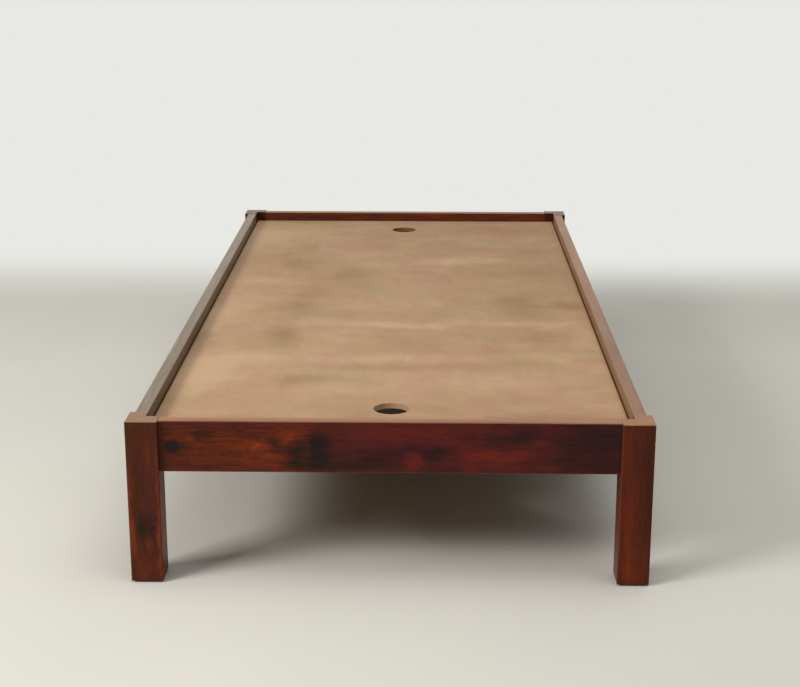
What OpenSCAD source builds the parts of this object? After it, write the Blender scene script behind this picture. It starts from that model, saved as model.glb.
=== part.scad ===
// Low platform bed frame for one person, with its deck set down inside the rails.
// Four square legs carry four rails that stand back from the legs' outer faces. The end rails
// are tenoned into the legs, and the side rails hook onto them with steel plates. Ledgers
// screwed inside the rails, cross slats let into the side ledgers, and a shoulder cut in each
// leg carry one loose deck panel, which lifts out by its two hand holes.
// X runs across the bed and Y along it, with the front end at -Y. Z is up, in millimetres.
// The origin is the middle of the footprint, on the floor.

/* [Overall size] */
// Width over the legs
bed_w = 984; // [860:1:1250]
// Length over the legs
bed_l = 2050; // [1850:1:2250]
// Height of the leg tops above the floor
bed_h = 323; // [280:1:420]

/* [Legs] */
// Side of each square leg
leg_side = 61; // [58:1:80]
// Radius of the legs' eased edges
leg_ease = 2.5; // [1:0.1:4]

/* [Rails] */
// Height of the rails
rail_h = 100; // [98:1:130]
// Thickness of the rails
rail_t = 25; // [22:0.5:30]
// How far the rails stand back from the legs' outer faces
rail_setback = 10; // [8:0.5:17]
// How far the rail tops lie below the leg tops
rail_drop = 1; // [0:0.1:4]
// Radius of the rails' eased edges
rail_ease = 2; // [0.5:0.1:4]

/* [Deck] */
// Thickness of the deck panel
deck_t = 12; // [9:0.5:18]
// Depth of the deck's top face below the rail tops
recess = 25; // [12:0.5:35]
// Gap between the deck panel's edges and the rails
deck_gap = 2.5; // [1:0.1:5]
// Diameter of the hand holes
hole_d = 70; // [45:1:90]
// Distance from the end rails' inner faces to the hand holes' centres
hole_from_end = 133; // [90:1:190]
// Width of the chamfer on the deck panel's edges
deck_chamfer = 0.8; // [0.2:0.1:2]

/* [Ledgers and slats] */
// Thickness of the ledgers, out from the rails
ledger_t = 22; // [18:0.5:30]
// Height of the side ledgers
side_ledger_h = 45; // [38:0.5:55]
// Height of the end ledgers
end_ledger_h = 30; // [20:0.5:50]
// Width of the cross slats
slat_w = 70; // [50:1:100]
// Thickness of the cross slats
slat_t = 20; // [15:0.5:24]
// Clearance at the ends of the ledgers and slats
end_gap = 1; // [0.3:0.1:3]
// Clearance on each side of a slat in its housing
housing_gap = 0.5; // [0.1:0.1:2]

/* [Tenons] */
// Length of the end rails' tenons
tenon_l = 35; // [20:1:42]
// Thickness of the tenons
tenon_t = 12; // [8:0.5:14]
// Height of the shoulder above and below a tenon
tenon_shoulder = 11; // [5:0.5:20]
// Clearance round a tenon in its mortise
mortise_gap = 0.2; // [0.05:0.05:0.5]

/* [Rail hooks] */
// Height of the steel plates
plate_h = 90; // [84:1:96]
// Width of the steel plates
plate_w = 16; // [14:0.5:18]
// Thickness of the steel plates
plate_t = 3; // [2:0.1:4]
// Distance from a plate's ends to its end screws
plate_screw_inset = 7; // [5:0.5:8]
// Height of the slots in the leg plates
slot_h = 18; // [16:0.5:20]
// Thickness of the hooks
hook_t = 3; // [2:0.1:4]
// Height of a hook where it passes through its slot
hook_neck = 10; // [7:0.5:12]
// How far a hook reaches down behind the leg plate
hook_drop = 5; // [3:0.5:6]
// Clearance between a hook and the slot's sides, and behind the plate
hook_gap = 0.5; // [0.2:0.1:1]
// Clearance round a plate in its recess
plate_gap = 0.2; // [0.05:0.05:0.5]

/* [Screws] */
// Diameter of the screws
screw_d = 4; // [3:0.1:5]
// Diameter of the screw heads
screw_head_d = 8; // [7:0.1:9]
// How far the ledger and slat screws reach into the wood that holds them
screw_bite = 14; // [8:0.5:17]
// How far the plate screws reach into the wood
plate_screw_bite = 22; // [15:0.5:28]
// How far the screw heads lie below the surface
head_sink = 0.3; // [0.1:0.1:0.8]
// Clearance round a screw or nail in its hole
screw_gap = 0.1; // [0.05:0.05:0.3]

/* [Glides] */
// Diameter of the glides under the legs
glide_d = 34; // [24:1:50]
// Thickness of the glides
glide_t = 3; // [2.5:0.1:6]
// Thickness of a glide between the nail's head and the leg
glide_web = 1; // [0.8:0.1:1.3]
// Diameter of the nails through the glides
nail_d = 2.5; // [1.5:0.1:4]
// Diameter of the nail heads
nail_head_d = 7; // [5:0.1:9]
// Thickness of the nail heads
nail_head_t = 1; // [0.5:0.1:1.2]
// How far the nails reach into the legs
nail_bite = 16; // [10:0.5:30]

/* [Hidden] */

stain = "#5b2218";
plain_wood = "#c9a878";
board = "#b7986f";
steel = "#b9bcc0";
nylon = "#2c2a28";

// Which way a corner lies from the middle of the bed
left = -1;
right = 1;
front = -1;
rear = 1;

// Legs: the faces that look in towards the middle of the bed
leg_in_x = bed_w / 2 - leg_side;
leg_in_y = bed_l / 2 - leg_side;
leg_mid_x = bed_w / 2 - leg_side / 2;
leg_mid_y = bed_l / 2 - leg_side / 2;

// Rails
rail_top = bed_h - rail_drop;
rail_bottom = rail_top - rail_h;
rail_mid_z = rail_top - rail_h / 2;
rail_mid_x = bed_w / 2 - rail_setback - rail_t / 2;
rail_mid_y = bed_l / 2 - rail_setback - rail_t / 2;
rail_in_x = rail_mid_x - rail_t / 2;
rail_in_y = rail_mid_y - rail_t / 2;

// The height at which the deck panel lies on ledgers, slats and leg shoulders
seat_z = rail_top - recess - deck_t;

// Cross slats, evenly spread between the end rails
slat_count = 5;
slat_pitch = 2 * rail_in_y / (slat_count + 1);
slat_screw_y = slat_w / 4;
ledger_mid_x = rail_in_x - ledger_t / 2;

// Screws in the end ledgers
end_screw_count = 4;
end_screw_pitch = 2 * leg_in_x / end_screw_count;

// Steel plates: end screws and hook slots, measured from the plate's middle
plate_end_z = plate_h / 2 - plate_screw_inset;
slot_mid_z = plate_end_z / 2;
slot_w = hook_t + 2 * hook_gap;
hook_reach = plate_t + hook_gap + hook_t;

// Screws and nails
screw_r = screw_d / 2;
head_r = screw_head_d / 2;
head_h = head_r - screw_r;
ledger_screw_l = ledger_t + screw_bite;
slat_screw_l = slat_t + screw_bite;
plate_screw_l = plate_t + plate_screw_bite;
point_l = 1.5 * screw_d;
cross_l = 0.45 * screw_head_d;
cross_w = 0.12 * screw_head_d;
cross_deep = 0.6 * head_h;
nail_head_z = glide_t - glide_web - nail_head_t;
nail_point_l = 1.2 * nail_d;

// How far a cut runs on past the face that it opens
past = 1;

function slat_y(index) = (index - (slat_count + 1) / 2) * slat_pitch;

// Moves a piece built at the right rear corner to any corner
module at_corner(side, end) {
    mirror([side < 0 ? 1 : 0, 0, 0]) mirror([0, end < 0 ? 1 : 0, 0]) children();
}

// Moves a piece built on the right side to either side
module at_side(side) {
    mirror([side < 0 ? 1 : 0, 0, 0]) children();
}

// Moves a piece built at the rear end to either end
module at_end(end) {
    mirror([0, end < 0 ? 1 : 0, 0]) children();
}

// A rectangle with its corners rounded, centred
module eased_rectangle(w, h, r) {
    square([w - 2 * r, h], center = true);
    square([w, h - 2 * r], center = true);
    for (x = [-1, 1], y = [-1, 1])
        translate([x * (w / 2 - r), y * (h / 2 - r)]) circle(r, $fn = 32);
}

// A box with all its edges rounded, centred on X and Y and standing on Z = 0
module eased_box(w, l, h, r) {
    intersection() {
        linear_extrude(h) eased_rectangle(w, l, r);
        translate([-w / 2, 0, h / 2]) rotate([90, 0, 90]) linear_extrude(w) eased_rectangle(l, h, r);
        translate([0, l / 2, h / 2]) rotate([90, 0, 0]) linear_extrude(l) eased_rectangle(w, h, r);
    }
}

// A countersunk wood screw: its hole's mouth is at the origin, and its point is at -Z
module screw(length) {
    translate([0, 0, -head_sink]) difference() {
        rotate_extrude($fn = 32) polygon([
            [0, 0], [head_r, 0], [screw_r, -head_h], [screw_r, point_l - length], [0, -length]
        ]);
        for (turn = [0, 90])
            rotate(turn) translate([-cross_l / 2, -cross_w / 2, -cross_deep])
                cube([cross_l, cross_w, cross_deep + past]);
    }
}

// The hole that such a screw needs, in every piece that it passes through
module screw_hole(length) {
    bottom = -head_sink - length - screw_gap;
    rotate_extrude($fn = 32) polygon([
        [0, past], [head_r + screw_gap, past], [head_r + screw_gap, -head_sink],
        [screw_r + screw_gap, -head_sink - head_h], [screw_r + screw_gap, bottom], [0, bottom]
    ]);
}

// The places of one side ledger's screws, between the slats, pointing out into the rail
module side_ledger_screw_spots() {
    for (index = [0 : slat_count])
        translate([rail_in_x - ledger_t, slat_y(index + 0.5), seat_z - side_ledger_h / 2])
            rotate([0, -90, 0]) children();
}

// The places of one end ledger's screws, pointing out into the rail
module end_ledger_screw_spots() {
    for (index = [0 : end_screw_count - 1])
        translate([(index - (end_screw_count - 1) / 2) * end_screw_pitch, rail_in_y - ledger_t, seat_z - end_ledger_h / 2])
            rotate([90, 0, 0]) children();
}

// The places of one slat's screws on the right side, pointing down into the ledger
module slat_screw_spots(index) {
    for (dy = [-slat_screw_y, slat_screw_y])
        translate([ledger_mid_x, slat_y(index) + dy, seat_z]) children();
}

// The places of one plate's screws, pointing along +Y from the joint's face
module plate_screw_spots() {
    for (dz = [-plate_end_z, 0, plate_end_z])
        translate([rail_mid_x, leg_in_y, rail_mid_z + dz]) rotate([90, 0, 0]) children();
}

// The hole that a nail needs in a leg, and the mouth for its head in a glide
module nail_hole() {
    translate([leg_mid_x, leg_mid_y, -past])
        cylinder(past + glide_t + nail_bite + screw_gap, r = nail_d / 2 + screw_gap, $fn = 32);
    translate([leg_mid_x, leg_mid_y, -past])
        cylinder(past + glide_t - glide_web, r = nail_head_d / 2 + screw_gap, $fn = 32);
}

// Leg

module leg(side, end) {
    color(stain) at_corner(side, end) difference() {
        translate([leg_mid_x, leg_mid_y, glide_t]) eased_box(leg_side, leg_side, bed_h - glide_t, leg_ease);
        deck_shoulder_cut();
        mortise();
        plate_recess(leg_in_y);
        hook_pockets();
        plate_screw_spots() screw_hole(plate_screw_l);
        nail_hole();
    }
}

// The deck's corner lies in this notch, whose walls line up with the rails' inner faces
module deck_shoulder_cut() {
    translate([leg_in_x - past, leg_in_y - past, seat_z])
        cube([rail_in_x - leg_in_x + past, rail_in_y - leg_in_y + past, bed_h - seat_z + past]);
}

module mortise() {
    translate([leg_in_x - past, rail_mid_y - tenon_t / 2 - mortise_gap, rail_bottom + tenon_shoulder - mortise_gap])
        cube([tenon_l + mortise_gap + past, tenon_t + 2 * mortise_gap, rail_h - 2 * tenon_shoulder + 2 * mortise_gap]);
}

// The shallow recess of one plate, which starts at the given place along the bed
module plate_recess(y) {
    translate([rail_mid_x - plate_w / 2 - plate_gap, y, rail_mid_z - plate_h / 2 - plate_gap])
        cube([plate_w + 2 * plate_gap, plate_t, plate_h + 2 * plate_gap]);
}

module hook_pockets() {
    pocket_w = slot_w + 2 * hook_gap;
    pocket_h = slot_h + hook_drop + hook_gap;
    for (dz = [-slot_mid_z, slot_mid_z])
        translate([rail_mid_x - pocket_w / 2, leg_in_y, rail_mid_z + dz - slot_h / 2 - hook_drop - hook_gap])
            cube([pocket_w, hook_reach + hook_gap, pocket_h]);
}

// Rails

module side_rail(side) {
    color(stain) at_side(side) difference() {
        translate([rail_mid_x, leg_in_y, rail_mid_z])
            rotate([90, 0, 0]) linear_extrude(2 * leg_in_y) eased_rectangle(rail_t, rail_h, rail_ease);
        for (end = [front, rear]) at_end(end) {
            plate_recess(leg_in_y - plate_t);
            translate([0, 2 * leg_in_y, 0]) mirror([0, 1, 0]) plate_screw_spots() screw_hole(plate_screw_l);
        }
        side_ledger_screw_spots() screw_hole(ledger_screw_l);
    }
}

module end_rail(end) {
    tenon_tip_x = leg_in_x + tenon_l;
    color(stain) at_end(end) difference() {
        union() {
            translate([-leg_in_x, rail_mid_y, rail_mid_z])
                rotate([90, 0, 90]) linear_extrude(2 * leg_in_x) eased_rectangle(rail_t, rail_h, rail_ease);
            translate([-tenon_tip_x, rail_mid_y - tenon_t / 2, rail_bottom + tenon_shoulder])
                cube([2 * tenon_tip_x, tenon_t, rail_h - 2 * tenon_shoulder]);
        }
        end_ledger_screw_spots() screw_hole(ledger_screw_l);
    }
}

// Ledgers

module side_ledger(side) {
    half_l = leg_in_y - end_gap;
    color(plain_wood) at_side(side) difference() {
        translate([rail_in_x - ledger_t, -half_l, seat_z - side_ledger_h]) cube([ledger_t, 2 * half_l, side_ledger_h]);
        for (index = [1 : slat_count]) {
            translate([rail_in_x - ledger_t - past, slat_y(index) - slat_w / 2 - housing_gap, seat_z - slat_t])
                cube([ledger_t + 2 * past, slat_w + 2 * housing_gap, slat_t + past]);
            slat_screw_spots(index) screw_hole(slat_screw_l);
        }
        side_ledger_screw_spots() screw_hole(ledger_screw_l);
    }
}

module end_ledger(end) {
    half_w = leg_in_x - end_gap;
    color(plain_wood) at_end(end) difference() {
        translate([-half_w, rail_in_y - ledger_t, seat_z - end_ledger_h]) cube([2 * half_w, ledger_t, end_ledger_h]);
        end_ledger_screw_spots() screw_hole(ledger_screw_l);
    }
}

// Slats

module cross_slat(index) {
    half_w = rail_in_x - end_gap;
    color(plain_wood) difference() {
        translate([-half_w, slat_y(index) - slat_w / 2, seat_z - slat_t]) cube([2 * half_w, slat_w, slat_t]);
        for (side = [left, right])
            at_side(side) slat_screw_spots(index) screw_hole(slat_screw_l);
    }
}

// Deck

module deck_panel() {
    deck_w = 2 * (rail_in_x - deck_gap);
    deck_l = 2 * (rail_in_y - deck_gap);
    color(board) translate([0, 0, seat_z]) difference() {
        chamfered_board(deck_w, deck_l, deck_t, deck_chamfer);
        for (end = [front, rear])
            translate([0, end * (rail_in_y - hole_from_end), 0]) hand_hole();
    }
}

// A board lying on Z = 0 with a chamfer along its upper and lower edges
module chamfered_board(w, l, t, chamfer) {
    intersection() {
        translate([-w / 2, 0, 0]) rotate([90, 0, 90]) linear_extrude(w) chamfered_section(l, t, chamfer);
        translate([0, l / 2, 0]) rotate([90, 0, 0]) linear_extrude(l) chamfered_section(w, t, chamfer);
    }
}

module chamfered_section(w, t, chamfer) {
    polygon([
        [-w / 2 + chamfer, 0], [w / 2 - chamfer, 0], [w / 2, chamfer], [w / 2, t - chamfer],
        [w / 2 - chamfer, t], [-w / 2 + chamfer, t], [-w / 2, t - chamfer], [-w / 2, chamfer]
    ]);
}

module hand_hole() {
    hole_r = hole_d / 2;
    rotate_extrude($fn = 96) polygon([
        [0, -past], [hole_r + deck_chamfer + past, -past], [hole_r, deck_chamfer],
        [hole_r, deck_t - deck_chamfer], [hole_r + deck_chamfer + past, deck_t + past], [0, deck_t + past]
    ]);
}

// Steel plates

module plate(y) {
    translate([rail_mid_x - plate_w / 2, y, rail_mid_z - plate_h / 2]) cube([plate_w, plate_t, plate_h]);
}

module leg_plate(side, end) {
    color(steel) at_corner(side, end) difference() {
        plate(leg_in_y);
        for (dz = [-slot_mid_z, slot_mid_z])
            translate([rail_mid_x - slot_w / 2, leg_in_y - past, rail_mid_z + dz - slot_h / 2])
                cube([slot_w, plate_t + 2 * past, slot_h]);
        plate_screw_spots() screw_hole(plate_screw_l);
    }
}

module hook_plate(side, end) {
    color(steel) at_corner(side, end) difference() {
        union() {
            plate(leg_in_y - plate_t);
            for (dz = [-slot_mid_z, slot_mid_z])
                translate([rail_mid_x - hook_t / 2, leg_in_y, rail_mid_z + dz - slot_h / 2]) hook();
        }
        translate([0, 2 * leg_in_y, 0]) mirror([0, 1, 0]) plate_screw_spots() screw_hole(plate_screw_l);
    }
}

// A hook that goes through its slot along +Y and down behind the leg plate
module hook() {
    nose = plate_t + hook_gap;
    rotate([90, 0, 90]) linear_extrude(hook_t) polygon([
        [-plate_t / 2, 0], [nose, 0], [nose, -hook_drop], [hook_reach, -hook_drop],
        [hook_reach, hook_neck], [-plate_t / 2, hook_neck]
    ]);
}

// Screws, in groups of one kind

module leg_plate_screws() {
    color(steel) for (side = [left, right], end = [front, rear])
        at_corner(side, end) plate_screw_spots() screw(plate_screw_l);
}

module hook_plate_screws() {
    color(steel) for (side = [left, right], end = [front, rear])
        at_corner(side, end) translate([0, 2 * leg_in_y, 0]) mirror([0, 1, 0])
            plate_screw_spots() screw(plate_screw_l);
}

module ledger_screws() {
    color(steel) for (side = [left, right])
        at_side(side) side_ledger_screw_spots() screw(ledger_screw_l);
    color(steel) for (end = [front, rear])
        at_end(end) end_ledger_screw_spots() screw(ledger_screw_l);
}

module slat_screws() {
    color(steel) for (side = [left, right], index = [1 : slat_count])
        at_side(side) slat_screw_spots(index) screw(slat_screw_l);
}

// Glides

module glide(side, end) {
    edge = glide_t / 3;
    color(nylon) at_corner(side, end) difference() {
        translate([leg_mid_x, leg_mid_y, 0]) rotate_extrude($fn = 96) polygon([
            [0, 0], [glide_d / 2 - edge, 0], [glide_d / 2, edge], [glide_d / 2, glide_t], [0, glide_t]
        ]);
        nail_hole();
    }
}

module glide_nails() {
    top = glide_t + nail_bite - nail_head_z;
    color(steel) for (side = [left, right], end = [front, rear])
        at_corner(side, end) translate([leg_mid_x, leg_mid_y, nail_head_z])
            rotate_extrude($fn = 32) polygon([
                [0, 0], [nail_head_d / 2, 0], [nail_head_d / 2, nail_head_t], [nail_d / 2, nail_head_t],
                [nail_d / 2, top - nail_point_l], [0, top]
            ]);
}

leg(left, front);  // leg_front_left
leg(right, front);  // leg_front_right
leg(left, rear);  // leg_rear_left
leg(right, rear);  // leg_rear_right
side_rail(left);  // side_rail_left
side_rail(right);  // side_rail_right
end_rail(front);  // end_rail_front
end_rail(rear);  // end_rail_rear
side_ledger(left);  // side_ledger_left
side_ledger(right);  // side_ledger_right
end_ledger(front);  // end_ledger_front
end_ledger(rear);  // end_ledger_rear
cross_slat(1);  // cross_slat_1
cross_slat(2);  // cross_slat_2
cross_slat(3);  // cross_slat_3
cross_slat(4);  // cross_slat_4
cross_slat(5);  // cross_slat_5
deck_panel();
leg_plate(left, front);  // leg_plate_front_left
leg_plate(right, front);  // leg_plate_front_right
leg_plate(left, rear);  // leg_plate_rear_left
leg_plate(right, rear);  // leg_plate_rear_right
hook_plate(left, front);  // hook_plate_front_left
hook_plate(right, front);  // hook_plate_front_right
hook_plate(left, rear);  // hook_plate_rear_left
hook_plate(right, rear);  // hook_plate_rear_right
leg_plate_screws();
hook_plate_screws();
ledger_screws();
slat_screws();
glide(left, front);  // glide_front_left
glide(right, front);  // glide_front_right
glide(left, rear);  // glide_rear_left
glide(right, rear);  // glide_rear_right
glide_nails();
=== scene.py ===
import math
from collections import namedtuple
from dataclasses import dataclass

import bpy
from mathutils import Euler, Matrix, Vector


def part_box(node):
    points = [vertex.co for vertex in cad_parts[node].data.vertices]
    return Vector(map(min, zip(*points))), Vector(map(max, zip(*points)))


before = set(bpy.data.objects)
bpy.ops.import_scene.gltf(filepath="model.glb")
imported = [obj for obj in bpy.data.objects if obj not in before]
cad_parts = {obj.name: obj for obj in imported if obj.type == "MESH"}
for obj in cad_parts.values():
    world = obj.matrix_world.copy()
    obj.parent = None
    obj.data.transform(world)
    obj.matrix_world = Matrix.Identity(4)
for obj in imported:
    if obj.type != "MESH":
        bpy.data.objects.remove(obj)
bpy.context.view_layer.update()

scene = bpy.context.scene
scene.view_settings.view_transform = "Standard"

# Camera, fitted to the bed's straight edges in the photograph

CAMERA_PLACE = (0.0654, -3.7449, 1.2526)
CAMERA_LENS = 70.02         # lens and sensor in millimetres
CAMERA_SENSOR = 36.0
CAMERA_DOWN = 15.914        # angles in degrees: below the level, to the left, and about the line of sight
CAMERA_TURN = 0.968
CAMERA_ROLL = 0.059


def make_camera():
    data = bpy.data.cameras.new("camera")
    data.sensor_fit = "HORIZONTAL"
    data.sensor_width = CAMERA_SENSOR
    data.lens = CAMERA_LENS
    camera = bpy.data.objects.new("camera", data)
    camera.location = CAMERA_PLACE
    aim = Euler((math.radians(90 - CAMERA_DOWN), 0, math.radians(CAMERA_TURN)), "XYZ").to_matrix()
    roll = Matrix.Rotation(math.radians(CAMERA_ROLL), 3, "Z")
    camera.rotation_euler = (aim @ roll).to_euler()
    scene.collection.objects.link(camera)
    scene.camera = camera


make_camera()

# Node helpers

MIDDLE = 0.5                    # a noise's middle value
FAR = 100.0                     # a reach that is longer than any board
SEED_STEP = (1.0, 1.7, 2.3)     # how far a noise moves along each axis for one step of its seed
# Sockets of a Mix node
MIX_SHARE = 0
MIX_NUMBER_A = 2
MIX_NUMBER_B = 3
MIX_NUMBER_OUT = 0
MIX_COLOUR_A = 6
MIX_COLOUR_B = 7
MIX_COLOUR_OUT = 2

# Features to a metre along each axis, layers of detail, strength of the finer layers, and own seed
Noise = namedtuple("Noise", "stretch detail rough seed")


class Graph:
    """A node tree with short calls for the nodes used here."""

    def __init__(self, tree):
        self.tree = tree

    def put(self, socket, value):
        if isinstance(value, bpy.types.NodeSocket):
            self.tree.links.new(value, socket)
        elif socket.type == "RGBA":
            socket.default_value = (*value, 1.0)
        else:
            socket.default_value = value

    def fill(self, node, inputs):
        for key, value in inputs.items():
            self.put(node.inputs[key], value)

    def node(self, kind, inputs=None, **settings):
        made = self.tree.nodes.new(kind)
        for key, value in settings.items():
            setattr(made, key, value)
        self.fill(made, inputs or {})
        return made

    def math(self, operation, *values, clamp=False):
        inputs = dict(enumerate(values))
        return self.node("ShaderNodeMath", inputs, operation=operation, use_clamp=clamp).outputs[0]

    def vector(self, operation, *values):
        inputs = dict(enumerate(values))
        return self.node("ShaderNodeVectorMath", inputs, operation=operation).outputs["Vector"]

    def length(self, value):
        return self.node("ShaderNodeVectorMath", {0: value}, operation="LENGTH").outputs["Value"]

    def dot(self, first, second):
        inputs = {0: first, 1: second}
        return self.node("ShaderNodeVectorMath", inputs, operation="DOT_PRODUCT").outputs["Value"]

    def split(self, value):
        return self.node("ShaderNodeSeparateXYZ", {0: value}).outputs

    def join(self, x, y, z):
        return self.node("ShaderNodeCombineXYZ", {0: x, 1: y, 2: z}).outputs[0]

    def place(self):
        """Object coordinates, which are the bed's own, in metres."""
        return self.node("ShaderNodeTexCoord").outputs["Object"]

    def normal(self):
        return self.node("ShaderNodeNewGeometry").outputs["Normal"]

    def noise_node(self, place, kind, seed):
        shift = tuple((seed + kind.seed) * step for step in SEED_STEP)
        spread = self.vector("MULTIPLY_ADD", place, kind.stretch, shift)
        inputs = {"Vector": spread, "Scale": 1.0, "Detail": kind.detail, "Roughness": kind.rough}
        return self.node("ShaderNodeTexNoise", inputs)

    def noise(self, place, kind, seed=0.0):
        """A number about the middle value."""
        return self.noise_node(place, kind, seed).outputs[0]

    def wander(self, place, kind, seed=0.0):
        """A vector about zero."""
        return self.vector("SUBTRACT", self.noise_node(place, kind, seed).outputs[1], (MIDDLE,) * 3)

    def bend(self, place, wander, reach):
        """The place moved by as much of a wandering vector as the reach says."""
        return self.vector("MULTIPLY_ADD", wander, reach, place)

    def swing(self, value, share):
        """A share of how far a value lies from the middle value."""
        return self.math("MULTIPLY", self.math("SUBTRACT", value, MIDDLE), share)

    def vary(self, level, value, share):
        """The level, plus a share of how far a value lies from the middle value."""
        return self.math("MULTIPLY_ADD", self.math("SUBTRACT", value, MIDDLE), share, level)

    def fade(self, value, start, end, at_start=0.0, at_end=1.0):
        """A smooth step between two values."""
        inputs = {"Value": value, "From Min": start, "From Max": end, "To Min": at_start, "To Max": at_end}
        return self.node("ShaderNodeMapRange", inputs, interpolation_type="SMOOTHSTEP").outputs[0]

    def ramp(self, value, stops):
        made = self.node("ShaderNodeValToRGB", {0: value})
        elements = made.color_ramp.elements
        while len(elements) < len(stops):
            elements.new(MIDDLE)
        for element, (place, colour) in zip(elements, stops):
            element.position = place
            element.color = (*colour, 1.0)
        return made.outputs[0]

    def mix(self, share, first, second, mode="MIX"):
        """Two colours mixed."""
        inputs = {MIX_SHARE: share, MIX_COLOUR_A: first, MIX_COLOUR_B: second}
        made = self.node("ShaderNodeMix", inputs, data_type="RGBA", blend_type=mode)
        return made.outputs[MIX_COLOUR_OUT]

    def mix_numbers(self, share, first, second):
        inputs = {MIX_SHARE: share, MIX_NUMBER_A: first, MIX_NUMBER_B: second}
        return self.node("ShaderNodeMix", inputs).outputs[MIX_NUMBER_OUT]

    def scaled(self, colour, factor):
        """A colour times a number."""
        inputs = {0: colour, "Scale": factor}
        return self.node("ShaderNodeVectorMath", inputs, operation="SCALE").outputs["Vector"]

    def patch(self, place, centre, reach, weight):
        """The weight at the centre, falling smoothly to 0 at the reach."""
        shrink = tuple(1 / r for r in reach)
        shift = tuple(-c / r for c, r in zip(centre, reach))
        away = self.length(self.vector("MULTIPLY_ADD", place, shrink, shift))
        return self.fade(away, 0.0, 1.0, weight, 0.0)

    def patches(self, level, place, zones):
        """The level, plus each zone's weight where the zone lies."""
        for u, v, reach_u, reach_v, weight in zones:
            spot = self.patch(place, (u, v, 0.0), (reach_u, reach_v, FAR), weight)
            level = self.math("ADD", level, spot)
        return level

    def bump(self, height, strength, depth, under=None):
        """A normal that follows a height, over the normal that lies under it."""
        inputs = {"Height": height, "Strength": strength, "Distance": depth}
        if under is not None:
            inputs["Normal"] = under
        return self.node("ShaderNodeBump", inputs).outputs[0]


def make_material(name):
    material = bpy.data.materials.new(name)
    material.use_nodes = True
    return material, Graph(material.node_tree), material.node_tree.nodes["Principled BSDF"]


SHARP_ANGLE = math.radians(25)


def put_material(name, material):
    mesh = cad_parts[name].data
    mesh.materials.clear()
    mesh.materials.append(material)
    for polygon in mesh.polygons:
        polygon.material_index = 0
        polygon.use_smooth = True
    mesh.set_sharp_from_angle(angle=SHARP_ANGLE)


def times(values, factor):
    return tuple(factor * value for value in values)


def edge_distance(graph, box):
    """Distance of a surface point from the nearest edge of its board, in metres."""
    low, high = box
    middle = tuple((a + b) / 2 for a, b in zip(low, high))
    half = tuple((b - a) / 2 for a, b in zip(low, high))
    off = graph.vector("ABSOLUTE", graph.vector("SUBTRACT", graph.place(), middle))
    a, b, c = graph.split(graph.vector("SUBTRACT", half, off))
    # On a face, the least of these distances to the box's faces is 0, and the middle one is to its edge
    lesser = graph.math("MINIMUM", a, b)
    greater = graph.math("MAXIMUM", a, b)
    return graph.math("MAXIMUM", lesser, graph.math("MINIMUM", greater, c))


# Grain of a board, whose directions are along the grain, across the face and through the board

DRIFT = Noise((1.6, 7.0, 7.0), 2.0, 0.5, 0)
DRIFT_REACH = (0.02, 0.034, 0.034)
SWAY = Noise((14.0, 45.0, 45.0), 2.0, 0.5, 3)
SWAY_REACH = (0.004, 0.003, 0.003)
TEAR = Noise((30.0, 70.0, 70.0), 4.0, 0.6, 4)
KNOT_TEAR_REACH = (0.012, 0.010, 0.010)
FIBRE = Noise((9.0, 420.0, 420.0), 3.0, 0.6, 5)
# How dark a ring is from side to side, and the least and the range of each ring's own factor on that
RING_SHADES = [(place, (dark,) * 3) for place, dark in
               ((0.0, 0.85), (0.1, 0.05), (0.55, 0.25), (0.9, 1.0), (1.0, 0.85))]
RING_LEAST = 0.45
RING_RANGE = 0.7
# In sizes of a knot: how far off it bends the rings, by how much, and how far its dark core reaches
KNOT_BEND = (4.5, 2.6)
KNOT_PUSH = 1.3
KNOT_CORE = (1.45, 1.30)

Figure = namedtuple("Figure", "place tear line fibre knot")


def grain_place(graph, along):
    """Object coordinates as (along the grain, across the face, through the board)."""
    x, y, z = graph.split(graph.place())
    return graph.join(*{"X": (x, z, y), "Y": (y, z, x), "Z": (z, x, y)}[along])


def wood_figure(graph, along, pith, spacing, seed, knots):
    """The board's bent place and its tears, and its ring lines, fibres and knots from 0 to 1."""
    place = grain_place(graph, along)
    bent = graph.bend(place, graph.wander(place, DRIFT, seed), DRIFT_REACH)
    bent = graph.bend(bent, graph.wander(place, SWAY, seed), SWAY_REACH)
    tear = graph.wander(place, TEAR, seed)
    uneven = graph.bend(bent, tear, KNOT_TEAR_REACH)
    from_pith = graph.vector("MULTIPLY_ADD", bent, (0.0, 1.0, 1.0), (0.0, -pith[0], -pith[1]))
    radius = graph.length(from_pith)
    knot = None
    for u, v, size in knots:
        centre = (u, v, 0.0)
        push = graph.patch(bent, centre, (*times(KNOT_BEND, size), FAR), size * KNOT_PUSH)
        radius = graph.math("ADD", radius, push)
        core = graph.patch(uneven, centre, (*times(KNOT_CORE, size), FAR), 1.0)
        knot = core if knot is None else graph.math("MAXIMUM", knot, core)
    phase = graph.math("DIVIDE", radius, spacing)
    line = graph.ramp(graph.math("FRACT", phase), RING_SHADES)
    ring = graph.node("ShaderNodeTexWhiteNoise", {"W": graph.math("FLOOR", phase)}, noise_dimensions="1D")
    own = graph.math("MULTIPLY_ADD", ring.outputs["Value"], RING_RANGE, RING_LEAST)
    line = graph.math("MULTIPLY", line, own)
    return Figure(bent, tear, line, graph.noise(bent, FIBRE, seed), knot)


# Stained wood

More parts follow.
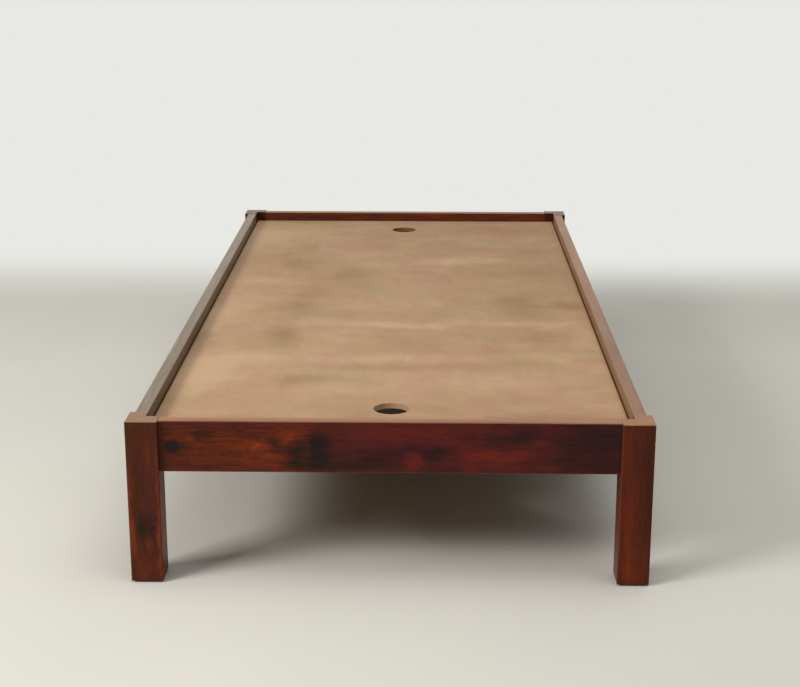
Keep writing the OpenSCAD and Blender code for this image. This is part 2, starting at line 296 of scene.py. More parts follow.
# Stain over orange and over plum-dark wood, from the darkest patches to the palest streaks
WARM_TONES = [
    (0.00, (0.014, 0.009, 0.004)), (0.25, (0.041, 0.011, 0.004)), (0.50, (0.086, 0.015, 0.004)),
    (0.75, (0.150, 0.022, 0.004)), (1.00, (0.240, 0.037, 0.006))]
PLUM_TONES = [
    (0.00, (0.014, 0.006, 0.007)), (0.25, (0.037, 0.008, 0.009)), (0.50, (0.077, 0.010, 0.010)),
    (0.75, (0.132, 0.014, 0.010)), (1.00, (0.200, 0.025, 0.012))]
KNOT = (0.008, 0.006, 0.005)
# Colour of the worn edges, which also carries a painted highlight
WORN_EDGE_HIGHLIGHT = (0.200, 0.085, 0.040)
RING_SPACING = 0.0048

# How the stain has taken. A share says how much of a noise counts, and a fade where it starts and ends
CLOUD = Noise((5.0, 16.0, 16.0), 2.0, 0.5, 11)
CLOUD_SHARE = 0.62
STREAK = Noise((9.0, 110.0, 110.0), 3.0, 0.6, 13)
SPECK = Noise((26.0, 55.0, 55.0), 3.0, 0.6, 35)
CURL = Noise((30.0, 24.0, 24.0), 1.0, 0.5, 31)
CURL_REACH = (0.0, 0.014, 0.014)
FLAME = Noise((13.0, 220.0, 220.0), 2.0, 0.6, 33)
FLAME_FADE = (0.34, 0.66)
FIBRE_SHARE = 0.22
PATCH_TEAR_REACH = (0.034, 0.024, 0.024)
CALM_WIDTH = 0.06
CALM_SHARE = 0.42
HUE = Noise((3.5, 12.0, 12.0), 2.0, 0.5, 17)
HUE_FADE = (0.22, 0.78)
PLUM_WIDTH = 0.2
PLUM_SHARE = 0.30
PORES = Noise((70.0, 1500.0, 1500.0), 1.0, 0.5, 8)
PORE_FADE = (0.60, 0.72)
PORE_SHARE = 0.45
KNOT_FADE = (0.05, 0.80)
KNOT_SHARE = 0.80

# How the edges have worn, with a painted highlight along them, and where the tops get painted sheen. The
# worn, highlit edge has a least width, and a range above it, in metres
EDGE_WOBBLE = Noise((22.0, 90.0, 90.0), 3.0, 0.6, 19)
EDGE_MARK_LEAST = 0.0004
EDGE_MARK_RANGE = 0.0042
EDGE_MARK_FADE = (0.35, 1.0)
SHEEN_CLOUD = Noise((6.0, 60.0, 60.0), 3.0, 0.6, 21)
SHEEN_CLOUD_SHARE = 0.7
UP_FADE = (0.35, 0.95)
INWARD_FADE = (0.0, 0.8)
STRIP_HEIGHTS = (0.285, 0.299)      # the painted light on the rails' inner faces sets in between these, at the deck's top
RIM_SHARE = 0.52
PALE_RING = 0.76
FAR_SHEEN_FADE = (-0.5, 0.5)

# Gloss and relief. A bump has a strength, and a depth in metres
SMEAR = Noise((7.0, 30.0, 30.0), 3.0, 0.6, 23)
LEAST_ROUGH = 0.30
SMEAR_ROUGH = 0.16
WORN_ROUGH = 0.12
GLOSS = {"Specular IOR Level": 0.10, "Coat Weight": 0.07, "Coat Roughness": 0.20, "Coat IOR": 1.48}
LINE_HEIGHT = -0.30
FIBRE_HEIGHT = 0.55
PORE_HEIGHT = -0.5
FINE_BUMP = (0.35, 0.0004)
WAVES = Noise((6.0, 20.0, 20.0), 1.0, 0.5, 29)
WAVE_BUMP = (0.5, 0.0012)


@dataclass(frozen=True)
class StainedBoard:
    """One board's grain, stain and wear, and its painted sheen and highlights, with places and sizes in
    metres.
    """

    along: str                  # axis of the grain
    pith: tuple                 # the tree's middle, across the face and through the board
    seed: float
    tone: float                 # level of the stain, from 0 for the darkest to 1
    plum: float                 # how much of the board is plum and not orange
    top: float                  # how much painted sheen the faces that look up get
    pale: tuple                 # colour of that painted sheen
    lit_inner_face: tuple = None        # direction of the inner face that gets painted light, longer for more
    far_sheen: float = 1.0         # brightness of the painted sheen towards the grain's far end, where grazing tops reflect more
    rim: tuple = None           # places through the board between which the top turns fully pale
    tint: tuple = None          # factor on the stain's colour
    edge_wear_and_highlight: float = 0.42          # share of the worn colour, with its painted highlight, at the edges
    lines: float = 0.16         # shares of the ring lines, streaks, flames and specks
    streaks: float = 0.60
    flames: float = 0.18
    mottle: float = 0.35
    plum_past: float = None     # place along the grain past which the board is more plum
    calm_past: float = None     # place along the grain past which streaks and flames are fainter
    zones: tuple = ()           # patches, as in the lists below
    knots: tuple = ()           # (along the grain, across the face, size)


def stain_level(graph, figure, board):
    """How pale the stain is, from 0 to 1."""
    place, seed = figure.place, board.seed
    cloud = graph.noise(place, CLOUD, seed)
    streak = graph.noise(place, STREAK, seed)
    ragged = graph.bend(place, figure.tear, PATCH_TEAR_REACH)
    speck = graph.noise(ragged, SPECK, seed)
    curled = graph.bend(place, graph.wander(place, CURL, seed), CURL_REACH)
    flame = graph.fade(graph.noise(curled, FLAME, seed), *FLAME_FADE)
    drawn = graph.math("ADD", graph.swing(streak, board.streaks), graph.swing(flame, board.flames))
    if board.calm_past is not None:
        start, end = board.calm_past - CALM_WIDTH, board.calm_past + CALM_WIDTH
        calm = graph.fade(graph.split(place)[0], start, end, 1.0, CALM_SHARE)
        drawn = graph.math("MULTIPLY", drawn, calm)
    level = graph.vary(board.tone, cloud, CLOUD_SHARE)
    level = graph.vary(level, speck, board.mottle)
    level = graph.vary(level, figure.fibre, FIBRE_SHARE)
    level = graph.math("ADD", level, drawn)
    level = graph.patches(level, ragged, board.zones)
    return graph.math("SUBTRACT", level, graph.math("MULTIPLY", figure.line, board.lines), clamp=True)


def stain_colour(graph, figure, board, pores):
    level = stain_level(graph, figure, board)
    hue = graph.math("ADD", graph.noise(figure.place, HUE, board.seed), board.plum - MIDDLE)
    if board.plum_past is not None:
        start, end = board.plum_past - PLUM_WIDTH, board.plum_past + PLUM_WIDTH
        more = graph.fade(graph.split(figure.place)[0], start, end, 0.0, PLUM_SHARE)
        hue = graph.math("ADD", hue, more)
    hue = graph.fade(hue, *HUE_FADE)
    colour = graph.mix(hue, graph.ramp(level, WARM_TONES), graph.ramp(level, PLUM_TONES))
    if board.tint is not None:
        colour = graph.vector("MULTIPLY", colour, board.tint)
    colour = graph.mix(graph.math("MULTIPLY", pores, PORE_SHARE), colour, KNOT)
    if figure.knot is not None:
        colour = graph.mix(graph.fade(figure.knot, *KNOT_FADE, 0.0, KNOT_SHARE), colour, KNOT)
    return colour


def worn_and_highlit_edges(graph, figure, board, box):
    """Where the edges are worn and carry a painted highlight, from 0 to 1."""
    edge_wobble = graph.noise(figure.place, EDGE_WOBBLE, board.seed)
    reach = graph.math("MULTIPLY_ADD", edge_wobble, EDGE_MARK_RANGE, EDGE_MARK_LEAST)
    off = graph.math("DIVIDE", edge_distance(graph, box), reach)
    return graph.math("SUBTRACT", 1.0, graph.fade(off, *EDGE_MARK_FADE))


def sheen_and_light_share(graph, figure, board):
    """Where the wood is painted paler for light: painted sheen on faces that look up, and painted light on
    the inner faces' strip.
    """
    normal = graph.normal()
    sheen_faces = graph.fade(graph.split(normal)[2], *UP_FADE)
    if board.lit_inner_face is not None:
        inward = graph.fade(graph.dot(normal, board.lit_inner_face), *INWARD_FADE)
        height = graph.split(graph.place())[2]
        strip = graph.math("MULTIPLY", inward, graph.fade(height, *STRIP_HEIGHTS))
        sheen_faces = graph.math("MAXIMUM", sheen_faces, strip)
    sheen_amount = graph.vary(board.top, graph.noise(figure.place, SHEEN_CLOUD, board.seed), SHEEN_CLOUD_SHARE)
    sheen_amount = graph.math("MULTIPLY", sheen_amount, sheen_faces, clamp=True)
    if board.rim is not None:
        inner = graph.fade(graph.split(figure.place)[2], *board.rim, RIM_SHARE, 1.0)
        sheen_amount = graph.math("MULTIPLY", sheen_amount, inner)
    return sheen_amount


# The painted sheen's colour, brightened towards the grain's far end as a painted reflection
def pale_colour(graph, figure, board):
    pale = graph.mix(figure.line, board.pale, times(board.pale, PALE_RING))
    if board.far_sheen != 1.0:
        brightness = graph.fade(graph.split(figure.place)[0], *FAR_SHEEN_FADE, 1.0, board.far_sheen)
        pale = graph.scaled(pale, brightness)
    return pale


def stained_wood(name, box, board):
    material, graph, surface = make_material(name)
    figure = wood_figure(graph, board.along, board.pith, RING_SPACING, board.seed, board.knots)
    pores = graph.fade(graph.noise(figure.place, PORES, board.seed), *PORE_FADE)
    colour = stain_colour(graph, figure, board, pores)
    worn_and_lit = worn_and_highlit_edges(graph, figure, board, box)
    # Worn edges, with a painted highlight along them
    colour = graph.mix(graph.math("MULTIPLY", worn_and_lit, board.edge_wear_and_highlight), colour, WORN_EDGE_HIGHLIGHT)
    # Painted sheen on faces that look up, and painted light on the inner faces above the deck
    colour = graph.mix(sheen_and_light_share(graph, figure, board), colour, pale_colour(graph, figure, board))
    smear = graph.noise(figure.place, SMEAR, board.seed)
    rough = graph.math("MULTIPLY_ADD", smear, SMEAR_ROUGH, LEAST_ROUGH)
    rough = graph.math("MULTIPLY_ADD", worn_and_lit, WORN_ROUGH, rough)
    fibres = graph.math("MULTIPLY", figure.fibre, FIBRE_HEIGHT)
    height = graph.math("MULTIPLY_ADD", figure.line, LINE_HEIGHT, fibres)
    height = graph.math("MULTIPLY_ADD", pores, PORE_HEIGHT, height)
    waves = graph.noise(figure.place, WAVES, board.seed)
    graph.fill(surface, {
        "Base Color": colour, "Roughness": rough, **GLOSS,
        "Normal": graph.bump(waves, *WAVE_BUMP, graph.bump(height, *FINE_BUMP)),
        "Coat Normal": graph.bump(waves, *WAVE_BUMP)})
    return material


# Patches of the stain: (along the grain, across the face, reach along, reach across, paler or darker)
FRONT_RAIL_ZONES = [
    (-0.300, 0.258, 0.150, 0.060, 0.20), (-0.251, 0.270, 0.060, 0.020, 0.10),
    (-0.241, 0.240, 0.075, 0.024, 0.20), (-0.340, 0.245, 0.090, 0.030, 0.08),
    (-0.180, 0.305, 0.075, 0.026, 0.16), (-0.354, 0.292, 0.034, 0.014, -0.26),
    (-0.268, 0.293, 0.036, 0.016, -0.24), (-0.217, 0.276, 0.018, 0.016, -0.30),
    (-0.176, 0.260, 0.024, 0.036, -0.46), (-0.134, 0.266, 0.040, 0.050, -0.54),
    (-0.045, 0.238, 0.090, 0.032, -0.26), (0.005, 0.298, 0.160, 0.046, 0.24),
    (0.092, 0.258, 0.052, 0.024, -0.26), (0.048, 0.246, 0.028, 0.030, 0.34),
    (0.041, 0.278, 0.022, 0.014, -0.22), (0.200, 0.246, 0.130, 0.034, 0.26),
    (0.257, 0.300, 0.040, 0.020, -0.22), (0.290, 0.279, 0.034, 0.014, 0.18),
    (0.215, 0.285, 0.090, 0.026, -0.10), (0.385, 0.275, 0.120, 0.110, -0.33),
    (-0.250, 0.272, 0.022, 0.012, 0.24), (-0.376, 0.287, 0.020, 0.008, 0.16),
    (-0.394, 0.268, 0.036, 0.030, -0.16), (0.150, 0.230, 0.034, 0.009, 0.26),
    (0.262, 0.241, 0.030, 0.008, -0.16), (0.300, 0.234, 0.050, 0.010, 0.12),
    (0.190, 0.289, 0.100, 0.009, -0.12), (-0.135, 0.234, 0.095, 0.022, -0.26),
    (-0.180, 0.286, 0.046, 0.018, 0.22), (-0.245, 0.284, 0.040, 0.016, -0.16),
    (-0.390, 0.283, 0.040, 0.014, 0.12)]
LEFT_LEG_ZONES = [
    (0.125, -0.484, 0.110, 0.013, 0.34), (0.215, -0.482, 0.090, 0.014, 0.20),
    (0.150, -0.461, 0.140, 0.016, -0.14), (0.112, -0.456, 0.046, 0.024, -0.30),
    (0.110, -0.441, 0.080, 0.012, -0.22), (0.080, -0.448, 0.026, 0.008, 0.22),
    (0.030, -0.480, 0.050, 0.016, -0.10), (0.262, -0.440, 0.050, 0.010, 0.12),
    (0.120, -0.429, 0.240, 0.008, 0.40)]
RIGHT_LEG_ZONES = [
    (0.110, 0.449, 0.150, 0.022, 0.22), (0.255, 0.443, 0.080, 0.016, 0.12),
    (0.250, 0.471, 0.090, 0.022, -0.14), (0.190, 0.486, 0.150, 0.014, -0.08),
    (0.026, 0.452, 0.080, 0.034, 0.22), (0.120, 0.429, 0.240, 0.008, 0.20)]

LEG = dict(along="Z", lines=0.06, streaks=0.30, flames=0.08, mottle=0.25, edge_wear_and_highlight=0.14)
STAINED = {
    "end_rail_front": StainedBoard(
        along="X", pith=(0.262, -0.965), seed=1.0, tone=0.485, plum=0.35, plum_past=-0.12, calm_past=-0.14,
        lines=0.09, streaks=0.42, flames=0.22, mottle=0.36, zones=FRONT_RAIL_ZONES,
        knots=[(-0.408, 0.268, 0.018)], top=0.95, pale=(0.335, 0.152, 0.066), rim=(-1.018, -0.996)),
    "end_rail_rear": StainedBoard(
        along="X", pith=(0.235, 1.055), seed=7.0, tone=0.59, plum=0.36,
        top=0.70, pale=(0.330, 0.190, 0.105), lit_inner_face=(0.0, -0.11, 0.0)),
    "side_rail_left": StainedBoard(
        along="Y", pith=(0.250, -0.430), seed=12.0, tone=0.52, plum=0.55,
        knots=[(-0.52, 0.262, 0.012), (0.31, 0.285, 0.009), (0.70, 0.240, 0.007)],
        top=0.80, pale=(0.222, 0.178, 0.114), far_sheen=1.30, lit_inner_face=(0.55, 0.0, 0.0)),
    "side_rail_right": StainedBoard(
        along="Y", pith=(0.300, 0.432), seed=19.0, tone=0.55, plum=0.40,
        knots=[(-0.74, 0.280, 0.008), (-0.08, 0.252, 0.014), (0.55, 0.290, 0.008)],
        top=0.80, pale=(0.262, 0.146, 0.073), far_sheen=1.38, lit_inner_face=(-1.0, 0.0, 0.0)),
    "leg_front_left": StainedBoard(
        **LEG, pith=(-0.455, -0.955), seed=23.0, tone=0.47, plum=0.50, tint=(1.0, 1.18, 1.0),
        zones=LEFT_LEG_ZONES, knots=[(0.114, -0.440, 0.006)], top=0.80, pale=(0.284, 0.168, 0.085)),
    "leg_front_right": StainedBoard(
        **LEG, pith=(0.430, -0.970), seed=31.0, tone=0.45, plum=0.30,
        zones=RIGHT_LEG_ZONES, top=0.90, pale=(0.310, 0.145, 0.055)),
    # The rear legs' zones darken their tops where the rails meet them, as painted shade
    "leg_rear_left": StainedBoard(
        **LEG, pith=(-0.450, 0.940), seed=37.0, tone=0.50, plum=0.50,
        zones=[(0.310, -0.440, 0.060, 0.034, -0.30)], knots=[(0.170, -0.470, 0.008)],
        top=0.60, pale=(0.250, 0.185, 0.120)),
    "leg_rear_right": StainedBoard(
        **LEG, pith=(0.440, 0.950), seed=43.0, tone=0.52, plum=0.45,
        zones=[(0.310, 0.440, 0.060, 0.034, -0.22)], top=0.60, pale=(0.250, 0.185, 0.120))}

for node_name, stained_board in STAINED.items():
    put_material(node_name, stained_wood(node_name + "_wood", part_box(node_name), stained_board))

# Plain wood of the hidden boards

PLAIN_TONES = [
    (0.00, (0.190, 0.090, 0.032)), (0.45, (0.350, 0.205, 0.092)), (0.75, (0.440, 0.280, 0.140)),
    (1.00, (0.530, 0.360, 0.195))]
PLAIN_KNOT = (0.130, 0.050, 0.018)
PLAIN_KNOT_FADE = (0.15, 0.7)
PLAIN_KNOT_SHARE = 0.85
PLAIN_RING_SPACING = 0.0042
PLAIN_TONE = 0.78
PLAIN_CLOUD = Noise((4.0, 14.0, 14.0), 2.0, 0.5, 11)
PLAIN_CLOUD_SHARE = 0.40
PLAIN_FIBRE_SHARE = 0.30
PLAIN_LINE_SHARE = 0.45
DIRT = (0.24, 0.14, 0.07)
DIRT_WIDTH = 0.004
DIRT_SHARE = 0.30
SAW_MARKS = Noise((260.0, 3.0, 3.0), 2.0, 0.5, 15)
SAW_HEIGHT = 0.5
PLAIN_LINE_HEIGHT = -0.3
PLAIN_LEAST_ROUGH = 0.55
PLAIN_FIBRE_ROUGH = 0.2
PLAIN_BUMP = (0.4, 0.0005)


def plain_wood(name, box, along, pith, seed, knots=()):
    material, graph, surface = make_material(name)
    figure = wood_figure(graph, along, pith, PLAIN_RING_SPACING, seed, knots)
    level = graph.vary(PLAIN_TONE, graph.noise(figure.place, PLAIN_CLOUD, seed), PLAIN_CLOUD_SHARE)
    level = graph.vary(level, figure.fibre, PLAIN_FIBRE_SHARE)
    level = graph.math("SUBTRACT", level, graph.math("MULTIPLY", figure.line, PLAIN_LINE_SHARE), clamp=True)
    colour = graph.ramp(level, PLAIN_TONES)
    if figure.knot is not None:
        dark = graph.fade(figure.knot, *PLAIN_KNOT_FADE, 0.0, PLAIN_KNOT_SHARE)
        colour = graph.mix(dark, colour, PLAIN_KNOT)
    # A little dirt along the edges, and saw marks across the grain
    inside = graph.fade(edge_distance(graph, box), 0.0, DIRT_WIDTH)
    colour = graph.mix(graph.math("MULTIPLY_ADD", inside, -DIRT_SHARE, DIRT_SHARE), colour, DIRT)
    height = graph.math("MULTIPLY_ADD", figure.line, PLAIN_LINE_HEIGHT, figure.fibre)
    height = graph.math("MULTIPLY_ADD", graph.noise(figure.place, SAW_MARKS, seed), SAW_HEIGHT, height)
    graph.fill(surface, {
        "Base Color": colour,
        "Roughness": graph.math("MULTIPLY_ADD", figure.fibre, PLAIN_FIBRE_ROUGH, PLAIN_LEAST_ROUGH),
        "Normal": graph.bump(height, *PLAIN_BUMP)})
    return material


PLAIN = {
    "side_ledger_left": dict(along="Y", pith=(0.215, -0.430), knots=[(0.12, 0.262, 0.006)]),
    "side_ledger_right": dict(along="Y", pith=(0.305, 0.470), knots=[(-0.43, 0.255, 0.007)]),
    "end_ledger_front": dict(along="X", pith=(0.240, -0.940)),
    "end_ledger_rear": dict(along="X", pith=(0.300, 0.930), knots=[(0.22, 0.268, 0.005)])}
# The slats' piths lie evenly apart along the bed, each a little higher than the one in front
SLATS = 5
MIDDLE_SLAT = 3
SLAT_PITH_HEIGHT = 0.225
SLAT_PITH_RISE = 0.012
SLAT_PITH_BACK = 0.02
SLAT_PITH_STEP = 0.33
for number in range(1, SLATS + 1):
    height = SLAT_PITH_HEIGHT + SLAT_PITH_RISE * number
    back = SLAT_PITH_STEP * (number - MIDDLE_SLAT) + SLAT_PITH_BACK
    PLAIN["cross_slat_%d" % number] = dict(along="X", pith=(height, back))

PLAIN_SEED = 51.0
PLAIN_SEED_STEP = 4
for index, (node_name, plain_board) in enumerate(PLAIN.items()):
    plain_board["seed"] = PLAIN_SEED + PLAIN_SEED_STEP * index
    put_material(node_name, plain_wood(node_name + "_wood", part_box(node_name), **plain_board))

# Deck board

# Hazy bands and stains on the deck: (x, y, reach x, reach y, paler or darker), in metres
DECK_ZONES = [
    (0.15, 0.43, 0.24, 0.08, 0.40), (-0.02, -0.235, 0.26, 0.045, 0.34), (0.27, -0.212, 0.24, 0.045, 0.30),
    (0.05, -0.505, 0.60, 0.075, 0.25), (-0.36, -0.54, 0.16, 0.07, 0.35), (-0.40, -0.68, 0.12, 0.14, 0.35),
    (0.20, -0.66, 0.14, 0.09, 0.22), (-0.27, -0.33, 0.06, 0.17, -0.45), (-0.24, -0.08, 0.07, 0.20, -0.35),
    (-0.22, 0.09, 0.08, 0.12, -0.25), (-0.13, 0.28, 0.10, 0.12, -0.40), (-0.27, 0.38, 0.09, 0.12, -0.30),
    (-0.28, 0.57, 0.07, 0.16, -0.20), (0.30, -0.06, 0.12, 0.20, -0.35), (0.43, -0.04, 0.08, 0.09, -0.45),
    (0.34, -0.34, 0.10, 0.08, -0.40), (0.02, -0.580, 0.34, 0.05, -0.22),
    (-0.19, -0.68, 0.10, 0.09, -0.35), (0.38, 0.30, 0.18, 0.45, -0.30), (0.20, 0.60, 0.25, 0.15, -0.15),
    (-0.38, 0.72, 0.18, 0.25, 0.15), (-0.35, 0.20, 0.12, 0.08, 0.25), (0.05, -0.80, 0.50, 0.10, -0.14),
    (0.00, -0.93, 0.60, 0.08, -0.15), (-0.43, -0.56, 0.16, 0.34, 0.34), (-0.44, -0.05, 0.16, 0.40, 0.22),
    (-0.44, 0.68, 0.16, 0.34, 0.34), (0.00, -0.36, 0.18, 0.15, -0.26), (0.36, 0.86, 0.24, 0.17, -0.34),
    (-0.08, 0.66, 0.13, 0.24, -0.20), (0.02, 0.25, 0.16, 0.14, 0.14), (-0.10, -0.86, 0.26, 0.10, -0.16),
    # Of the last three patches, the first is painted shade along the right rail, and the other two darken
    # the deck along the front rail
    (0.45, 0.00, 0.08, 0.42, -0.22), (0.37, -0.94, 0.32, 0.13, -1.00), (-0.28, -0.95, 0.12, 0.10, -0.45)]
DECK_TONES = [
    (0.00, (0.285, 0.172, 0.092)), (0.35, (0.345, 0.218, 0.122)), (0.60, (0.387, 0.251, 0.145)),
    (1.00, (0.462, 0.313, 0.191))]
DECK_TONE = 0.58
DECK_DRIFT = Noise((3.0, 3.0, 3.0), 3.0, 0.55, 2.0)
DECK_DRIFT_REACH = (0.14, 0.12, 0.0)
DECK_SWAY = Noise((13.0, 16.0, 1.0), 3.0, 0.55, 6.0)
DECK_SWAY_REACH = (0.060, 0.045, 0.0)
DECK_CLOUD = Noise((3.0, 4.0, 1.0), 4.0, 0.55, 5.0)
DECK_CLOUD_SHARE = 1.05
BLOTCH = Noise((11.0, 15.0, 1.0), 3.0, 0.6, 8.0)
BLOTCH_SHARE = 0.85
DRAG = Noise((55.0, 5.0, 1.0), 3.0, 0.6, 12.0)
DRAG_SHARE = 0.35
FLUFF = Noise((140.0, 140.0, 140.0), 3.0, 0.65, 3.0)
FLUFF_SHARE = 0.22
CHIPS = Noise((620.0, 620.0, 620.0), 2.0, 0.6, 4.0)
CHIP_SHARE = 0.32
# Some of the clouds lean to pink and some to olive
LEAN = Noise((4.5, 6.0, 1.0), 3.0, 0.55, 16.0)
LEAN_TINTS = [(0.36, (1.045, 0.965, 1.035)), (0.64, (0.97, 1.015, 0.945))]
# Painted shade darkens the hand holes' walls: (y, reach, how much), the rear hole's most
HOLE_SHADE = (0.10, 0.050, 0.018)
SHADED_HOLES = [(0.857, 0.130, 1.0), (-0.857, 0.075, 0.15)]
HOLE_HEIGHT = 0.29
WALL_FADE = (0.3, 0.8)
# The underside is raw and darker, and so is the board close to its edges
UNDERSIDE = (0.13, 0.075, 0.040)
UNDERSIDE_FADE = (-0.8, -0.3)
UNDERSIDE_SHARE = 0.75
SAWN = (0.20, 0.115, 0.06)
SAWN_WIDTHS = (0.0005, 0.006)
SAWN_SHARE = 0.35
DECK_LEAST_ROUGH = 0.58
BLOTCH_ROUGH = 0.18
DECK_SPECULAR = 0.15
CHIP_HEIGHT = 0.6
CHIP_BUMP = (0.25, 0.0004)
CLOUD_BUMP = (0.3, 0.003)


def deck_hole_shade(graph, place, facing):
    """Where the walls of the hand holes get painted shade, from 0 to 1."""
    hole_shade = None
    for y, reach, weight in SHADED_HOLES:
        spot = graph.patch(place, (0.0, y, HOLE_HEIGHT), (reach, reach, 1.0), weight)
        hole_shade = spot if hole_shade is None else graph.math("MAXIMUM", hole_shade, spot)
    wall = graph.fade(graph.math("ABSOLUTE", facing), *WALL_FADE, 1.0, 0.0)
    return graph.math("MULTIPLY", hole_shade, wall)


def deck_board(box):
    material, graph, surface = make_material("deck_board")
    place = graph.place()
    bent = graph.bend(place, graph.wander(place, DECK_DRIFT), DECK_DRIFT_REACH)
    bent = graph.bend(bent, graph.wander(place, DECK_SWAY), DECK_SWAY_REACH)
    cloud = graph.noise(bent, DECK_CLOUD)
    blotch = graph.noise(bent, BLOTCH)
    drag = graph.noise(bent, DRAG)
    fluff = graph.noise(place, FLUFF)
    chips = graph.noise(place, CHIPS)
    level = graph.vary(DECK_TONE, cloud, DECK_CLOUD_SHARE)
    level = graph.vary(level, blotch, BLOTCH_SHARE)
    level = graph.vary(level, drag, DRAG_SHARE)
    level = graph.vary(level, fluff, FLUFF_SHARE)
    level = graph.vary(level, chips, CHIP_SHARE)
    level = graph.patches(level, bent, DECK_ZONES)
    colour = graph.ramp(graph.math("MAXIMUM", level, 0.0, clamp=True), DECK_TONES)
    colour = graph.mix(1.0, colour, graph.ramp(graph.noise(bent, LEAN), LEAN_TINTS), "MULTIPLY")
    facing = graph.split(graph.normal())[2]
    # Painted shade on the walls of the hand holes
    colour = graph.mix(deck_hole_shade(graph, place, facing), colour, HOLE_SHADE)
    colour = graph.mix(graph.fade(facing, *UNDERSIDE_FADE, UNDERSIDE_SHARE, 0.0), colour, UNDERSIDE)
    sawn = graph.math("SUBTRACT", 1.0, graph.fade(edge_distance(graph, box), *SAWN_WIDTHS))
    colour = graph.mix(graph.math("MULTIPLY", sawn, SAWN_SHARE), colour, SAWN)
    fine = graph.bump(graph.math("MULTIPLY_ADD", chips, CHIP_HEIGHT, fluff), *CHIP_BUMP)
    graph.fill(surface, {
        "Base Color": colour,
        "Roughness": graph.math("MULTIPLY_ADD", blotch, BLOTCH_ROUGH, DECK_LEAST_ROUGH),
        "Specular IOR Level": DECK_SPECULAR,
        "Normal": graph.bump(cloud, *CLOUD_BUMP, fine)})
    return material


put_material("deck_panel", deck_board(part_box("deck_panel")))

# Zinc-plated steel of the plates, screws and nails

STEEL_TONES = [(0.2, (0.36, 0.36, 0.35)), (0.5, (0.58, 0.58, 0.56)), (0.8, (0.72, 0.72, 0.71))]
SPANGLES = 160.0        # crystals of the zinc to a metre
SPANGLE_SHARE = 0.25
DULL = Noise((45.0, 45.0, 45.0), 3.0, 0.6, 6.0)
DULL_SHARE = 0.75
BRUSHED = Noise((900.0, 900.0, 60.0), 3.0, 0.6, 1.0)
BRUSHED_BUMP = (0.2, 0.0001)
STEEL_LEAST_ROUGH = 0.24
BRUSHED_ROUGH = 0.25


def zinc_steel():
    material, graph, surface = make_material("zinc_steel")
    place = graph.place()
    spangle = graph.node("ShaderNodeTexVoronoi", {"Vector": place, "Scale": SPANGLES}).outputs["Color"]
    brushed = graph.noise(place, BRUSHED)
    dull = graph.math("MULTIPLY", graph.noise(place, DULL), DULL_SHARE)
    shade = graph.math("MULTIPLY_ADD", graph.split(spangle)[0], SPANGLE_SHARE, dull)
    graph.fill(surface, {
        "Base Color": graph.ramp(shade, STEEL_TONES),
        "Metallic": 1.0,
        "Roughness": graph.math("MULTIPLY_ADD", brushed, BRUSHED_ROUGH, STEEL_LEAST_ROUGH),
        "Normal": graph.bump(brushed, *BRUSHED_BUMP)})
    return material


# Dark nylon of the glides

NYLON_TONES = [(0.35, (0.028, 0.024, 0.021)), (0.6, (0.050, 0.045, 0.040)), (0.75, (0.11, 0.10, 0.09))]
SCUFF = Noise((160.0, 60.0, 160.0), 3.0, 0.6, 4.0)
NYLON_LEAST_ROUGH = 0.40
SCUFF_ROUGH = 0.25
NYLON_GRAIN = Noise((1100.0, 1100.0, 1100.0), 2.0, 0.6, 1.0)
NYLON_BUMP = (0.3, 0.0001)


def dark_nylon():
    material, graph, surface = make_material("dark_nylon")
    place = graph.place()
    scuff = graph.noise(place, SCUFF)
    graph.fill(surface, {
        "Base Color": graph.ramp(scuff, NYLON_TONES),
        "Roughness": graph.math("MULTIPLY_ADD", scuff, SCUFF_ROUGH, NYLON_LEAST_ROUGH),
        "Normal": graph.bump(graph.noise(place, NYLON_GRAIN), *NYLON_BUMP)})
    return material


steel = zinc_steel()
nylon = dark_nylon()
for node_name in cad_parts:
    if "plate" in node_name or "screws" in node_name or "nails" in node_name:
        put_material(node_name, steel)
    elif node_name.startswith("glide_"):
        put_material(node_name, nylon)

# Floor, which fades out into the white surround, soonest behind the bed

FLOOR_REACH = 9.0
FLOOR = (0.585, 0.570, 0.518)
FLOOR_CLOUD = Noise((1.2, 1.2, 1.0), 2.0, 0.5, 1.0)
FLOOR_TONES = [(0.3, times(FLOOR, 0.97)), (0.7, times(FLOOR, 1.03))]
FLOOR_ROUGH = 0.9
FLOOR_SPECULAR = 0.2
# The fade starts this far from the middle to the sides, back and front, and is so long
CLEAR_SIDE = 1.9
CLEAR_BACK = 1.08
CLEAR_FRONT = 2.4
CLEAR_LENGTH = 1.6
BACK_HASTE = 2.0        # it is as many times quicker towards the back


def past(graph, value, limit):
    """How far a value is past a limit, or 0."""
    return graph.math("MAXIMUM", graph.math("SUBTRACT", value, limit), 0.0)


def floor_clear(graph, place):
    """Where the floor isn't to be seen, from 0 to 1: far away, and from below."""
    x, y, _ = graph.split(place)
    past_side = past(graph, graph.math("ABSOLUTE", x), CLEAR_SIDE)
    past_back = graph.math("MULTIPLY", past(graph, y, CLEAR_BACK), BACK_HASTE)
    past_front = past(graph, graph.math("MULTIPLY", y, -1.0), CLEAR_FRONT)
    away = graph.length(graph.join(past_side, graph.math("ADD", past_back, past_front), 0.0))
    below = graph.node("ShaderNodeNewGeometry").outputs["Backfacing"]
    seen = graph.node("ShaderNodeLightPath").outputs["Is Camera Ray"]
    return graph.math("MAXIMUM", graph.fade(away, 0.0, CLEAR_LENGTH), graph.math("MULTIPLY", below, seen))


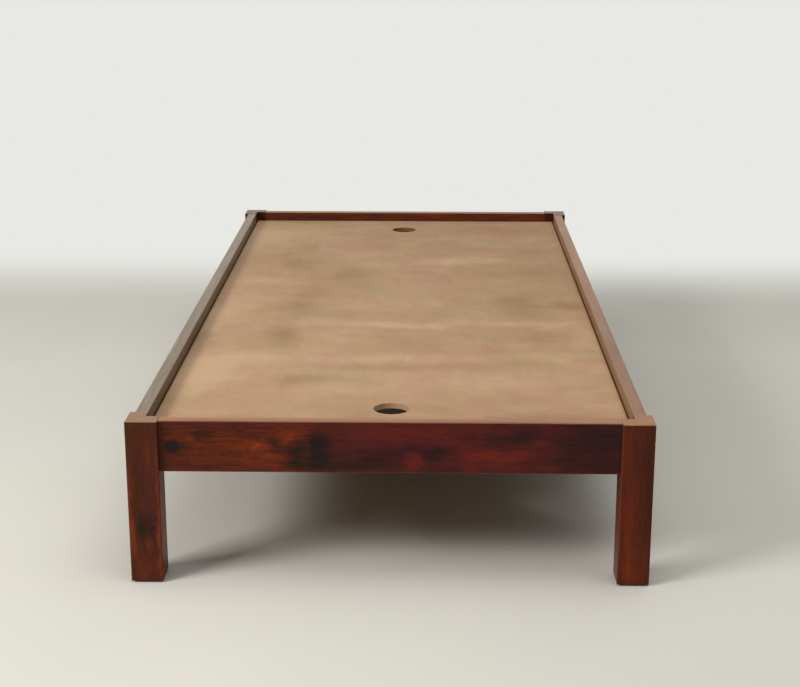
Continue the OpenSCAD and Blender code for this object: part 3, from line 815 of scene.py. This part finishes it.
def make_floor():
    mesh = bpy.data.meshes.new("floor")
    reach = FLOOR_REACH
    corners = [(-reach, -reach, 0), (reach, -reach, 0), (reach, reach, 0), (-reach, reach, 0)]
    mesh.from_pydata(corners, [], [(0, 1, 2, 3)])
    floor = bpy.data.objects.new("floor", mesh)
    scene.collection.objects.link(floor)
    material, graph, surface = make_material("floor")
    place = graph.place()
    graph.fill(surface, {
        "Base Color": graph.ramp(graph.noise(place, FLOOR_CLOUD), FLOOR_TONES),
        "Roughness": FLOOR_ROUGH,
        "Specular IOR Level": FLOOR_SPECULAR})
    nothing = graph.node("ShaderNodeBsdfTransparent").outputs[0]
    shaders = {0: floor_clear(graph, place), 1: surface.outputs[0], 2: nothing}
    joined = graph.node("ShaderNodeMixShader", shaders).outputs[0]
    graph.put(material.node_tree.nodes["Material Output"].inputs["Surface"], joined)
    mesh.materials.append(material)


make_floor()

# Lights

LIGHT_TARGET = Vector((0.0, 0.0, 0.25))


def area_light(name, place, size, power, colour):
    data = bpy.data.lights.new(name, "AREA")
    data.shape = "RECTANGLE"
    data.size, data.size_y = size
    data.energy = power
    data.color = colour
    light = bpy.data.objects.new(name, data)
    light.location = place
    light.rotation_euler = (LIGHT_TARGET - Vector(place)).to_track_quat("-Z", "Y").to_euler()
    scene.collection.objects.link(light)


area_light("window", place=(-3.5, -3.0, 2.75), size=(1.8, 1.2), power=185, colour=(1.0, 0.99, 0.96))
area_light("ceiling", place=(0.6, -1.2, 4.2), size=(3.0, 3.0), power=70, colour=(1.0, 0.98, 0.94))

# World, which is a white wall to the camera and a room to all else

WALL_WHITE = (0.807, 0.815, 0.776)
ROOM_LIGHT = (1.0, 1.0, 0.985)
# Fades of the room's light over a direction's y, -x and z, as start, end and the level at each
ROOM_BEHIND = (-0.25, 0.85, 0.10, 0.95)
ROOM_WINDOW = (0.1, 0.95, 0.0, 0.30)
ROOM_ABOVE = (0.10, 0.85, 0.01, 0.60)
WINDOW_GLOW = 0.25


def make_world():
    """Gloss shows the room bright behind and at its window. The rest is lit from above and the window."""
    world = bpy.data.worlds.new("world")
    scene.world = world
    world.use_nodes = True
    graph = Graph(world.node_tree)
    x, y, z = graph.split(graph.node("ShaderNodeTexCoord").outputs["Generated"])
    window = graph.fade(graph.math("MULTIPLY", x, -1.0), *ROOM_WINDOW)
    shine = graph.math("ADD", graph.fade(y, *ROOM_BEHIND), window)
    glow = graph.math("MULTIPLY_ADD", window, WINDOW_GLOW, graph.fade(z, *ROOM_ABOVE))
    path = graph.node("ShaderNodeLightPath").outputs
    light = graph.scaled(ROOM_LIGHT, graph.mix_numbers(path["Is Glossy Ray"], glow, shine))
    colour = graph.mix(path["Is Camera Ray"], light, WALL_WHITE)
    graph.fill(world.node_tree.nodes["Background"], {"Color": colour, "Strength": 1.0})


make_world()
